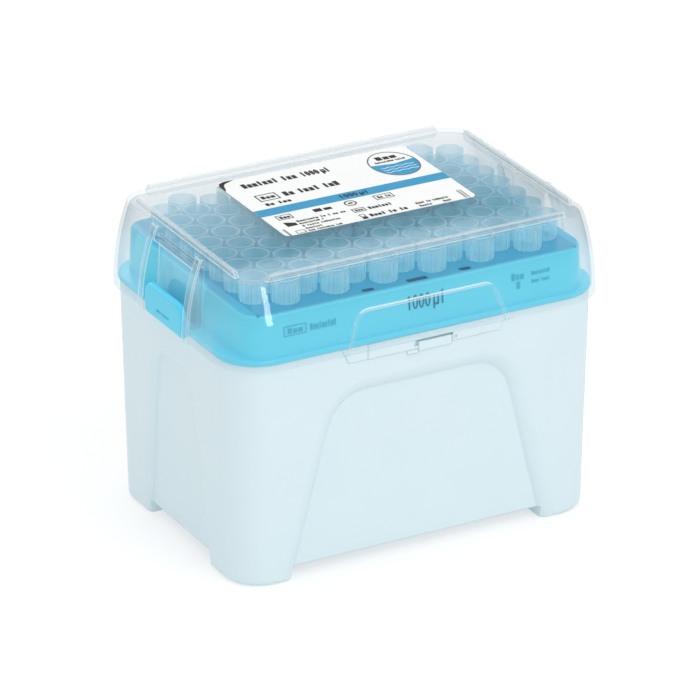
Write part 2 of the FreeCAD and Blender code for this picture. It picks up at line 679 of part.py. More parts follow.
def arch_line(outside, inside):
    """Thin raised arch on the wall that faces -Y."""
    top = PANEL_Z - ARCH_LINE_DROP
    slope = math.tan(math.radians(ARCH_LINE_LEAN))
    loops = []
    for shrink in (0, ARCH_LINE_WIDTH):
        high = top - shrink
        half_high = ARCH_LINE_HALF_TOP - shrink
        half_low = half_high + (high - LID_BOTTOM_Z) * slope
        corners = [(half_low, LID_BOTTOM_Z, 0), (half_high, high, ARCH_LINE_CORNER),
                   (-half_high, high, ARCH_LINE_CORNER), (-half_low, LID_BOTTOM_Z, 0)]
        loops.append(prism(corners, facing_y(0), V(0, -FAR, 0)))
    ring = loops[0].cut(loops[1])
    return ring.common(outside).cut(inside)


def make_lid():
    """Clear bowed shell with top ribs, latch frames and raised arches."""
    low = LID_BOTTOM_Z
    body = lid_block(0, low, PANEL_Z)
    panel_edges = [edge for edge in body.Edges if edge.BoundBox.ZMin > PANEL_Z - LID_EDGE_ROUND / 2]
    body = body.makeFillet(LID_EDGE_ROUND, panel_edges)
    grown = lid_block(-LATCH_RIB_PROUD, low, PANEL_Z)
    line_skin = lid_block(-ARCH_LINE_PROUD, low, PANEL_Z)
    hollow = lid_block(LID_WALL, low, PANEL_Z - LID_WALL)
    raised = []
    for rib in latch_ribs(grown):
        raised += both_ends(rib)
    raised += both_ends(arch_line(line_skin, hollow))
    shell = body.fuse(raised).cut(hollow)
    shelf_low = PANEL_Z - LATCH_SHELF_DROP
    seat = LEDGE_Z + FIT_GAP
    box_half = LATCH_HALF_WIDTH + LID_WALL
    housing = set_in_wall(LATCH_WALL, box_half, seat, shelf_low + LATCH_SHELF).common(body)
    opening = set_in_wall(0, LATCH_HALF_WIDTH, low - PAST, shelf_low)
    for part in both_ends(housing):
        shell = shell.fuse(part)
    for part in both_ends(opening):
        shell = shell.cut(part)
    return one_solid(shell.fuse(top_ribs()))


# ---- label ---------------------------------------------------------------
def make_label():
    """Thin paper plate on the top panel."""
    outline = rectangle_corners(LABEL_LENGTH / 2, LABEL_WIDTH / 2, LABEL_CORNER)
    plate = prism(outline, flat(PANEL_Z), V(0, 0, LABEL_THICKNESS))
    plate.translate(V(LABEL_X, LABEL_Y, 0))
    return plate


# ---- build ---------------------------------------------------------------
def save(name, solids):
    """Write the solids of one node to its own file."""
    for solid in solids:
        assert solid.isValid() and solid.Volume > 0, name
    shape = solids[0] if len(solids) == 1 else Part.makeCompound(solids)
    shape.exportStep("parts/" + name + ".step")
    size = shape.optimalBoundingBox()
    print(name, len(solids), round(sum(solid.Volume for solid in solids), 1),
          [round(value, 2) for value in (size.XMin, size.XMax, size.YMin, size.YMax, size.ZMin, size.ZMax)])


def main():
    os.makedirs("parts", exist_ok=True)
    save("base", [make_base()])
    save("tip_tray", [make_tray()])
    for number, solids in enumerate(tip_columns(), 1):
        save("tips_column_%02d" % number, solids)
    save("lid", [make_lid()])
    save("label", [make_label()])


main()
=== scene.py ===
"""Visual model of a box of pipette tips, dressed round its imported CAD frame.

Sizes are metres in the frame's own axes: +X along the long side, +Y from the
front with the volume mark to the back, +Z up, origin at the centre of the foot
plane. Sizes are millimetres where their name ends in _mm, and on printed sheets.
"""

import json
import logging
import math
from collections.abc import Callable
from dataclasses import dataclass, field
from enum import Enum
from functools import cache

import bmesh
import bpy
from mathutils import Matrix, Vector

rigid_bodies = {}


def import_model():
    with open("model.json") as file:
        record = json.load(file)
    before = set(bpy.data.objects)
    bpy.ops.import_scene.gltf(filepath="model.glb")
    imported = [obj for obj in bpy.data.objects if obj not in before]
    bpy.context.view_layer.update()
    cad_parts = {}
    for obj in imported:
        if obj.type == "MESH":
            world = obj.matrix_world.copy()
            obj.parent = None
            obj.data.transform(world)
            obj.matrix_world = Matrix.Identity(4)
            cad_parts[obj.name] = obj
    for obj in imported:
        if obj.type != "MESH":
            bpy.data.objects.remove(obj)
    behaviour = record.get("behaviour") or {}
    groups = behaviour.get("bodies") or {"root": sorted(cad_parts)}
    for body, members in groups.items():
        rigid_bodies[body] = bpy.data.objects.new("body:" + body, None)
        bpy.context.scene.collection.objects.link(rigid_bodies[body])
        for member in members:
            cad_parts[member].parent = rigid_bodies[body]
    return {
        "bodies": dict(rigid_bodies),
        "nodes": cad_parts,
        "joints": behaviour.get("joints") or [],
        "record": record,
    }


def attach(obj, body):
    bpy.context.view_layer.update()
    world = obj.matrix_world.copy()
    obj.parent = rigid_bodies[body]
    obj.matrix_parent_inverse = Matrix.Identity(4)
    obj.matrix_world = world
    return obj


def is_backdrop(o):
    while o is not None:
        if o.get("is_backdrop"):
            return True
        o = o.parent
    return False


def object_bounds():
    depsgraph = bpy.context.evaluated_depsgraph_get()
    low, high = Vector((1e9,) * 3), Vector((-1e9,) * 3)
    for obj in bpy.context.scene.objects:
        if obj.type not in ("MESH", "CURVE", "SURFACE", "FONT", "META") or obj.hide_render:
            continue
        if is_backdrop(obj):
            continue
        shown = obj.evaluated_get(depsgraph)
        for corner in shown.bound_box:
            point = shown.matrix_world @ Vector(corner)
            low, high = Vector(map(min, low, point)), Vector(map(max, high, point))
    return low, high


LOG = logging.getLogger("tip_box")

Colour = tuple[float, float, float]
Point = tuple[float, float]
Outline = tuple[Point, ...]
Box = tuple[float, float, float, float]  # left, top, right and bottom edge on a sheet
Row = tuple[Box, tuple[int, ...]]  # box of a row of words, letters in each word
Placing = Callable[[float, float], Vector]
Material = bpy.types.Material
Node = bpy.types.Node
Socket = bpy.types.NodeSocket
Value = float | Colour | Socket

MM = 0.001
SOFT_STEP = 0.0004  # height over which a mask changes, metres
FAR = 1.0  # beyond every piece, metres
BLACK: Colour = (0.0, 0.0, 0.0)
WHITE: Colour = (1.0, 1.0, 1.0)
PLASTIC_IOR = 1.49
BEVEL_SAMPLES = 4
SKIN_SCALE, GRAIN_SCALE = 60.0, 1800.0  # sizes of the skin's broad flow and fine grain

# Sockets of the colour mixing node, which shares its socket names between data types.
MIX_FACTOR, MIX_UNDER, MIX_OVER, MIX_RESULT = 0, 6, 7, 2

# Display curve: full level, end and slope of the straight part, offset and power of the rest.
DISPLAY_FULL, DISPLAY_KNEE, DISPLAY_SLOPE = 255, 0.04045, 12.92
DISPLAY_OFFSET, DISPLAY_POWER = 0.055, 2.4


class Body(str, Enum):
    """Rigid bodies of the frame that pieces ride on."""

    BASE = "base"
    LID = "lid"


class Slot(str, Enum):
    """Material slots of the record."""

    TRAY = "tray_plastic"
    LABEL = "label_paper"


class Letter(Enum):
    """Block that stands for one letter in a row of print: (height share, width share)."""

    TALL = (1.0, 0.5)
    ROUND = (0.76, 0.8)
    WIDE = (0.76, 0.88)
    CAPITAL = (1.0, 0.82)


def linear(*levels: float) -> Colour:
    """Scene-linear colour of a display colour.

    Args:
        *levels: Red, green and blue, 0 to 255.

    Returns:
        The colour as three linear values.
    """
    shares = (level / DISPLAY_FULL for level in levels)
    return tuple(share / DISPLAY_SLOPE if share <= DISPLAY_KNEE else
                 ((share + DISPLAY_OFFSET) / (1.0 + DISPLAY_OFFSET)) ** DISPLAY_POWER
                 for share in shares)


# ---- shader building ----
class Graph:
    """Thin wrapper that adds and links the nodes of one shader tree."""

    def __init__(self, tree: bpy.types.NodeTree) -> None:
        """Keeps the tree that it fills."""
        self.tree = tree

    def feed(self, target: Socket, value: Value) -> None:
        """Feeds an input.

        Args:
            target: The input.
            value: Socket to link, or plain colour or number to set.
        """
        if isinstance(value, Socket):
            self.tree.links.new(value, target)
        else:
            target.default_value = (*value, 1.0) if isinstance(value, tuple) else value

    def add(self, kind: str, **values: object) -> Node:
        """Adds a node.

        Args:
            kind: Node type name.
            **values: Properties by name, or inputs by socket name with _ for spaces.

        Returns:
            The new node.
        """
        node = self.tree.nodes.new(kind)
        for name, value in values.items():
            if hasattr(node, name):
                setattr(node, name, value)
            else:
                self.feed(node.inputs[name.replace("_", " ")], value)
        return node

    def math(self, operation: str, *values: Value) -> Socket:
        """Works out a value, kept between 0 and 1.

        Args:
            operation: Math operation.
            *values: What it works on.

        Returns:
            The result's socket.
        """
        node = self.add("ShaderNodeMath", operation=operation, use_clamp=True)
        for target, value in zip(node.inputs, values):
            self.feed(target, value)
        return node.outputs[0]

    def ranged(self, source: Socket, low: Value, high: Value) -> Socket:
        """Spreads a 0 to 1 value between two others.

        Args:
            source: Value from 0 to 1.
            low: Result at 0.
            high: Result at 1.

        Returns:
            The result's socket.
        """
        node = self.add("ShaderNodeMapRange", Value=source, To_Min=low, To_Max=high)
        return node.outputs["Result"]

    def blend(self, factor: Socket, under: Value, tone: Colour) -> Socket:
        """Lays a plain colour over another colour by a mask.

        Args:
            factor: The mask.
            under: Colour where the mask is 0.
            tone: Colour where it is 1.

        Returns:
            The blended colour's socket.
        """
        node = self.add("ShaderNodeMix", data_type="RGBA")
        for index, value in ((MIX_FACTOR, factor), (MIX_UNDER, under), (MIX_OVER, tone)):
            self.feed(node.inputs[index], value)
        return node.outputs[MIX_RESULT]

    def place(self, axis: str) -> Socket:
        """Where a point lies along an axis of the frame, metres."""
        spot = self.add("ShaderNodeTexCoord").outputs["Object"]
        return self.add("ShaderNodeSeparateXYZ", Vector=spot).outputs[axis]

    def above(self, low: float, high: float | None = None) -> Socket:
        """Mask that rises from 0 to 1 between two heights.

        Args:
            low: Height in the frame where it starts, metres.
            high: Height where it ends, just above the start if left out.

        Returns:
            The mask's socket.
        """
        node = self.add("ShaderNodeMapRange", Value=self.place("Z"), From_Min=low,
                        From_Max=low + SOFT_STEP if high is None else high)
        return node.outputs["Result"]

    def within(self, half_x: float = FAR, half_y: float = FAR) -> Socket:
        """Mask that is 1 inside an upright rectangular column round the Z axis.

        Args:
            half_x: Half its size along X, metres.
            half_y: Half its size along Y.

        Returns:
            The mask's socket.
        """
        sides = [self.math("LESS_THAN", self.math("ABSOLUTE", self.place(axis)), half)
                 for axis, half in (("X", half_x), ("Y", half_y))]
        return self.math("MULTIPLY", *sides)


def new_group(name: str, inputs: dict[str, float],
              outputs: tuple[str, ...]) -> tuple[Graph, Node, Node]:
    """Starts an empty shader group with plain number sockets.

    Args:
        name: Group name.
        inputs: Input names and their usual values.
        outputs: Output names.

    Returns:
        Graph of the new group, the node of its inputs and the node of its outputs.
    """
    tree = bpy.data.node_groups.new(name, "ShaderNodeTree")
    for label, value in inputs.items():
        socket = tree.interface.new_socket(label, in_out="INPUT", socket_type="NodeSocketFloat")
        socket.default_value = value
    for label in outputs:
        tree.interface.new_socket(label, in_out="OUTPUT", socket_type="NodeSocketFloat")
    graph = Graph(tree)
    return graph, graph.add("NodeGroupInput"), graph.add("NodeGroupOutput")


@cache
def moulded_skin() -> bpy.types.NodeTree:
    """Shared effect: the faint unevenness of a moulded plastic skin.

    Returns:
        Node group with the outputs Tone, Roughness and Height.
    """
    graph, entry, leave = new_group(
        "moulded_skin", {"Scale": SKIN_SCALE, "Smoothest": 0.2, "Roughest": 0.3},
        ("Tone", "Roughness", "Height"))
    place = graph.add("ShaderNodeTexCoord").outputs["Object"]
    flow = graph.add("ShaderNodeTexNoise", Vector=place, Scale=entry.outputs["Scale"],
                     Detail=3.0, Roughness=0.5).outputs["Fac"]
    grain = graph.add("ShaderNodeTexNoise", Vector=place, Scale=GRAIN_SCALE, Detail=2.0)
    wear = graph.ranged(flow, entry.outputs["Smoothest"], entry.outputs["Roughest"])
    for label, value in (("Tone", flow), ("Roughness", wear), ("Height", grain.outputs["Fac"])):
        graph.feed(leave.inputs[label], value)
    return graph.tree


@cache
def moulded_edges() -> bpy.types.NodeTree:
    """Shared effect: mask of the narrow bands along a moulding's edges.

    Returns:
        Node group with the output Mask.
    """
    graph, entry, leave = new_group("moulded_edges", {"Radius": 0.0004, "Gain": 3.0}, ("Mask",))
    rounded = graph.add("ShaderNodeBevel", samples=BEVEL_SAMPLES, Radius=entry.outputs["Radius"])
    own = graph.add("ShaderNodeNewGeometry")
    same = graph.add("ShaderNodeVectorMath", operation="DOT_PRODUCT")
    for target, source in zip(same.inputs, (rounded, own)):
        graph.feed(target, source.outputs["Normal"])
    apart = graph.math("SUBTRACT", 1.0, same.outputs["Value"])
    graph.feed(leave.inputs["Mask"], graph.math("MULTIPLY", apart, entry.outputs["Gain"]))
    return graph.tree


# ---- finishes ----
@dataclass(frozen=True)
class Finish:
    """Base of every finish: one named material.

    Attributes:
        name: Material name.
        smoothest: Lowest roughness.
        roughest: Highest roughness.
        grain: Height of the fine skin texture, metres.
        bump: Strength of that texture.
        shine: How much its skin mirrors, 0.5 for plain plastic.
        edge: Radius at which edges catch the light, metres.
        painted_edge_tone: Painted highlight along moulded edges, a colour lighter than the finish;
            on the label paper a faint painted shade.
        edge_gain: How strongly the edges show.
    """

    name: str
    smoothest: float
    roughest: float
    grain: float = 0.00002
    bump: float = 0.35
    shine: float = 0.5
    edge: float = 0.0004
    painted_edge_tone: Colour = BLACK
    edge_gain: float = 1.0

    def start(self) -> tuple[Material, Graph, Node, Node, Node]:
        """Makes the material with its shader, its output and the moulded skin linked in.

        Returns:
            Material, graph, shader, output and skin group.
        """
        material = bpy.data.materials.new(self.name)
        material.use_nodes = True
        material.node_tree.nodes.clear()
        graph = Graph(material.node_tree)
        skin = graph.add("ShaderNodeGroup", node_tree=moulded_skin(), Smoothest=self.smoothest,
                         Roughest=self.roughest)
        shader = graph.add("ShaderNodeBsdfPrincipled", Specular_IOR_Level=self.shine,
                           Roughness=skin.outputs["Roughness"])
        output = graph.add("ShaderNodeOutputMaterial", Surface=shader.outputs["BSDF"])
        return material, graph, shader, output, skin

    def edge_mask(self, graph: Graph) -> Socket:
        """Mask of the bands along moulded edges."""
        return graph.add("ShaderNodeGroup", node_tree=moulded_edges(), Radius=self.edge,
                         Gain=self.edge_gain).outputs["Mask"]

    def relief(self, graph: Graph, skin: Node) -> Socket:
        """Fine bump over edges that read as rounded.

        Args:
            graph: Graph of the material.
            skin: The moulded skin group.

        Returns:
            Normal socket.
        """
        rounded = graph.add("ShaderNodeBevel", samples=BEVEL_SAMPLES, Radius=self.edge)
        return graph.add("ShaderNodeBump", Strength=self.bump, Distance=self.grain,
                         Height=skin.outputs["Height"],
                         Normal=rounded.outputs["Normal"]).outputs["Normal"]


@dataclass(frozen=True, kw_only=True)
class MouldedPlastic(Finish):
    """Opaque or slightly translucent moulded plastic.

    Attributes:
        light: Lighter tone.
        dark: Darker tone.
        painted_top_shade: Painted shade: darker colour of its upper faces, such as a deck shaded
            by the tips and lid above it and the dark inside below it.
        painted_top_shade_from: Height from which that painted shade shows, metres; 0 for nowhere.
        painted_cut_shade: Painted shade: darker colour of the faces inside its cuts and under its
            deck, where shade falls.
        painted_cut_shade_half: Half sizes of the column that holds those faces, metres; 0 for
            none.
        painted_tab_shade: Painted shade: darker colour of its thumb tabs, toning down the light on
            their outer faces.
        painted_tab_shade_from: Distance of the tabs from the middle along X, metres; 0 for none.
        glow: Painted light: the plastic glows faintly in this colour, which lifts its shaded
            places in place of light carried through it.
    """

    light: Colour
    dark: Colour
    painted_top_shade: Colour = BLACK
    painted_top_shade_from: float = 0.0
    painted_cut_shade: Colour = BLACK
    painted_cut_shade_half: tuple[float, float] = (0.0, 0.0)
    painted_tab_shade: Colour = BLACK
    painted_tab_shade_from: float = 0.0
    glow: Colour = BLACK

    def make(self) -> Material:
        """Builds the material.

        Returns:
            The material.
        """
        material, graph, shader, _, skin = self.start()
        tone = graph.blend(skin.outputs["Tone"], self.dark, self.light)
        # Painted light: the glow colour makes the plastic glow faintly, except inside the cuts.
        glow: Value = self.glow
        # Painted shade: faces inside the column of cuts and under the deck take a darker colour
        # and no glow.
        if any(self.painted_cut_shade_half):
            inside = graph.within(*self.painted_cut_shade_half)
            tone = graph.blend(inside, tone, self.painted_cut_shade)
            glow = graph.blend(inside, self.glow, BLACK)
        # Painted shade: the thumb tabs beyond a distance along X take a darker colour.
        if self.painted_tab_shade_from:
            tabs = graph.ranged(graph.within(half_x=self.painted_tab_shade_from), 1.0, 0.0)
            tone = graph.blend(tabs, tone, self.painted_tab_shade)
        # Painted shade: upper faces above a height take a darker colour.
        if self.painted_top_shade_from:
            tone = graph.blend(graph.above(self.painted_top_shade_from), tone, self.painted_top_shade)
        # Painted highlight along moulded edges; on the label paper a faint painted shade.
        tone = graph.blend(self.edge_mask(graph), tone, self.painted_edge_tone)
        for label, value in (("Base Color", tone), ("Normal", self.relief(graph, skin)),
                             ("IOR", PLASTIC_IOR), ("Emission Color", glow),
                             ("Emission Strength", float(any(self.glow)))):
            graph.feed(shader.inputs[label], value)
        return material


@dataclass(frozen=True, kw_only=True)
class SheerPlastic(Finish):
    """Base of the see-through finishes: a haze that is thicker seen edge on.

    Attributes:
        haze: Colour of the haze.
        through: Colour of light straight through one skin.
        haze_facing: Share of haze where a skin faces the eye.
        haze_edge_on: Share of haze where it is seen edge on.
        haze_bend: How late the haze thickens towards edge on.
        lamp_through: Colour of lamp light through one skin.
    """

    haze: Colour
    through: Colour
    haze_facing: float
    haze_edge_on: float
    haze_bend: float = 1.5
    lamp_through: Colour = (0.98, 0.985, 0.99)

    @staticmethod
    def share(graph: Graph, bend: float, facing: float, edge_on: float) -> Socket:
        """Share that grows as a skin turns from facing the eye to edge on.

        Args:
            graph: Graph of the material.
            bend: How late it grows.
            facing: Share where the skin faces the eye.
            edge_on: Share where it is seen edge on.

        Returns:
            The share's socket.
        """
        rim = graph.add("ShaderNodeLayerWeight", Blend=0.5).outputs["Facing"]
        return graph.ranged(graph.math("POWER", rim, bend), facing, edge_on)

    def haze_share(self, graph: Graph) -> Socket:
        """Share of haze, more where the skin is seen edge on."""
        return self.share(graph, self.haze_bend, self.haze_facing, self.haze_edge_on)

    @staticmethod
    def mixed(graph: Graph, share: Socket, first: Node, second: Node) -> Node:
        """Mixes two shaders.

        Args:
            graph: Graph of the material.
            share: Share of the second shader.
            first: Shader at 0.
            second: Shader at 1.

        Returns:
            The mixing node.
        """
        mix = graph.add("ShaderNodeMixShader")
        for target, value in zip(mix.inputs, (share, first.outputs[0], second.outputs[0])):
            graph.feed(target, value)
        return mix

    def finished(self, graph: Graph, output: Node, seen: Node) -> None:
        """Links the shader in, with a plain clear one for the light of the lamps.

        Args:
            graph: Graph of the material.
            output: Output of the material.
            seen: Shader that the eye meets.
        """
        shadow = graph.add("ShaderNodeLightPath").outputs["Is Shadow Ray"]
        lamp = graph.add("ShaderNodeBsdfTransparent", Color=self.lamp_through)
        whole = self.mixed(graph, shadow, seen, lamp)
        graph.feed(output.inputs["Surface"], whole.outputs[0])


@dataclass(frozen=True, kw_only=True)
class ClearPlastic(SheerPlastic):
    """Glass-clear thin moulding that mirrors the room on its outer skin.

    Attributes:
        mirror_facing: Share mirrored where the skin faces the eye.
        mirror_edge_on: Share mirrored where it is seen edge on.
        mirror_bend: How late the mirroring grows towards edge on.
        crest: Height above which its ribs get the painted edge highlight, metres.
        crest_painted_highlight: How strongly the painted edge highlight covers those ribs.
        painted_low_haze: Painted light: a lighter blue haze beside the tray, standing in for the
            blue tray's light in the skin.
        low: Heights between which that colour ends, metres.
        painted_edge_glow: Painted light: a glow along its edges, standing in for light that
            collects inside the skin and leaves there.
        edge_cover: How much the edges hide what is behind them.
        painted_latch_haze: Painted light: a lighter blue haze in the latch frames, standing in for
            the blue tray's light behind them.
        latch_from: Distance of those frames from the middle along X, metres.
        latch_half: Half their width along Y.
        latch_top: Height below which their haze has that colour.
        pad_half: Half the width of the front and back pads along X.
        pad_top: Their height, metres.
        pad_share: Share of the painted edge highlight that the pads' edges keep.
    """

    mirror_facing: float = 0.035
    mirror_edge_on: float = 0.4
    mirror_bend: float = 5.0
    crest: float = 0.1036
    crest_painted_highlight: float = 0.2
    painted_low_haze: Colour
    low: tuple[float, float] = (0.089, 0.097)
    painted_edge_glow: Colour = (0.16, 0.17, 0.175)
    edge_cover: float = 0.75
    painted_latch_haze: Colour = (0.35, 0.72, 0.84)
    latch_from: float = 0.056
    latch_half: float = 0.024
    latch_top: float = 0.0985
    pad_half: float = 0.031
    pad_top: float = 0.0885
    pad_share: float = 0.5

    def edges(self, graph: Graph) -> Socket:
        """Mask of the edges' look: full on the skin, less on the ribs and the pads.

        Args:
            graph: Graph of the material.

        Returns:
            The mask's socket.
        """
        # Painted highlight: rib crests above a height take the edges' painted look; the pads keep
        # less of it.
        ribs = graph.ranged(graph.above(self.crest), 0.0, self.crest_painted_highlight)
        pads = graph.math("SUBTRACT", graph.within(half_x=self.pad_half),
                          graph.above(self.pad_top))
        return graph.math("MULTIPLY", graph.math("ADD", self.edge_mask(graph), ribs),
                          graph.ranged(pads, 1.0, self.pad_share))

    def veil(self, graph: Graph) -> Socket:
        """Colour of the haze over the whole lid.

        Args:
            graph: Graph of the material.

        Returns:
            The colour's socket.
        """
        # Painted light: a lighter blue haze in the lid's lower band and in the latch frames.
        ends = graph.math("SUBTRACT", graph.within(half_y=self.latch_half),
                          graph.within(half_x=self.latch_from))
        latches = graph.math("SUBTRACT", ends, graph.above(self.latch_top))
        veil = graph.blend(graph.above(*self.low), self.painted_low_haze, self.haze)
        return graph.blend(latches, veil, self.painted_latch_haze)

    def make(self) -> Material:
        """Builds the material.

        Returns:
            The material.
        """
        material, graph, shader, output, skin = self.start()
        # Painted highlight and painted glow: the edges take a lighter colour, glow and hide more
        # of what lies behind them.
        mask = self.edges(graph)
        cover = graph.ranged(mask, 0.0, self.edge_cover)
        for label, value in (("Base Color", graph.blend(mask, self.veil(graph), self.painted_edge_tone)),
                             ("Emission Color", graph.blend(mask, BLACK, self.painted_edge_glow)),
                             ("Emission Strength", 1.0),
                             ("Alpha", graph.math("ADD", self.haze_share(graph), cover)),
                             ("Normal", self.relief(graph, skin))):
            graph.feed(shader.inputs[label], value)
        gloss = graph.add("ShaderNodeBsdfGlossy", Color=WHITE, Roughness=skin.outputs["Roughness"])
        bounce = self.share(graph, self.mirror_bend, self.mirror_facing, self.mirror_edge_on)
        outer = self.mixed(graph, bounce, shader, gloss)
        clear = graph.add("ShaderNodeBsdfTransparent", Color=self.through)
        inner = graph.add("ShaderNodeNewGeometry").outputs["Backfacing"]
        self.finished(graph, output, self.mixed(graph, inner, outer, clear))
        return material


@dataclass(frozen=True)
class MilkyPlastic(SheerPlastic):
    """Frosted natural plastic that blurs and tints what is behind it.

    Attributes:
        bend: Refractive index of its thin wall.
        painted_tray_light: Painted light: a blue glow low on its walls, standing in for the tray's
            light that the walls carry up.
        deck: Height where that light is full, metres.
        fade: Height over the deck where it ends.
    """

    bend: float = 1.1
    painted_tray_light: Colour = (0.045, 0.19, 0.23)
    deck: float = 0.093
    fade: float = 0.009

    def make(self) -> Material:
        """Builds the material.

        Returns:
            The material.
        """
        material, graph, shader, output, _ = self.start()
        for label, value in (("Base Color", self.through), ("Transmission Weight", 1.0),
                             ("IOR", self.bend)):
            graph.feed(shader.inputs[label], value)
        # Painted highlight along the tips' edges and rims.
        tone = graph.blend(self.edge_mask(graph), self.haze, self.painted_edge_tone)
        # Painted light: the walls glow blue near the deck, fading out upwards.
        painted_tray_glow = graph.blend(graph.above(self.deck, self.deck + self.fade), self.painted_tray_light, BLACK)
        milk = graph.add("ShaderNodeBsdfPrincipled", Roughness=self.roughest, Base_Color=tone,
                         Emission_Color=painted_tray_glow, Emission_Strength=1.0)
        inner = graph.add("ShaderNodeNewGeometry").outputs["Backfacing"]
        outer = graph.math("SUBTRACT", self.haze_share(graph), inner)
        self.finished(graph, output, self.mixed(graph, outer, shader, milk))
        return material


@dataclass(frozen=True, kw_only=True)
class Ink(Finish):
    """Printed ink with the faint mottle of the sheet under it.

    Attributes:
        shine: How much its skin mirrors.
        bump: Strength of the sheet's texture in it.
        mottle: How fine the mottle is.
        light: Lighter tone.
        dark: Darker tone.
    """

    shine: float = 0.1
    bump: float = 0.2
    mottle: float = 400.0
    light: Colour
    dark: Colour

    def make(self) -> Material:
        """Builds the material.

        Returns:
            The material.
        """
        material, graph, shader, _, skin = self.start()
        graph.feed(skin.inputs["Scale"], self.mottle)
        tone = graph.blend(skin.outputs["Tone"], self.dark, self.light)
        bump = graph.add("ShaderNodeBump", Strength=self.bump, Distance=self.grain,
                         Height=skin.outputs["Height"])
        graph.feed(shader.inputs["Base Color"], tone)
        graph.feed(shader.inputs["Normal"], bump.outputs["Normal"])
        return material


# ---- flat print ----
def new_piece(name: str, shape: bmesh.types.BMesh, finish: Material) -> bpy.types.Object:
    """Makes a scene object of a shape and frees the shape.

    Args:
        name: Name of the object and its mesh.
        shape: The shape.
        finish: Material.

    Returns:
        The new object.
    """
    mesh = bpy.data.meshes.new(name)
    shape.to_mesh(mesh)
    shape.free()
    mesh.materials.append(finish)
    piece = bpy.data.objects.new(name, mesh)
    bpy.context.scene.collection.objects.link(piece)
    return piece


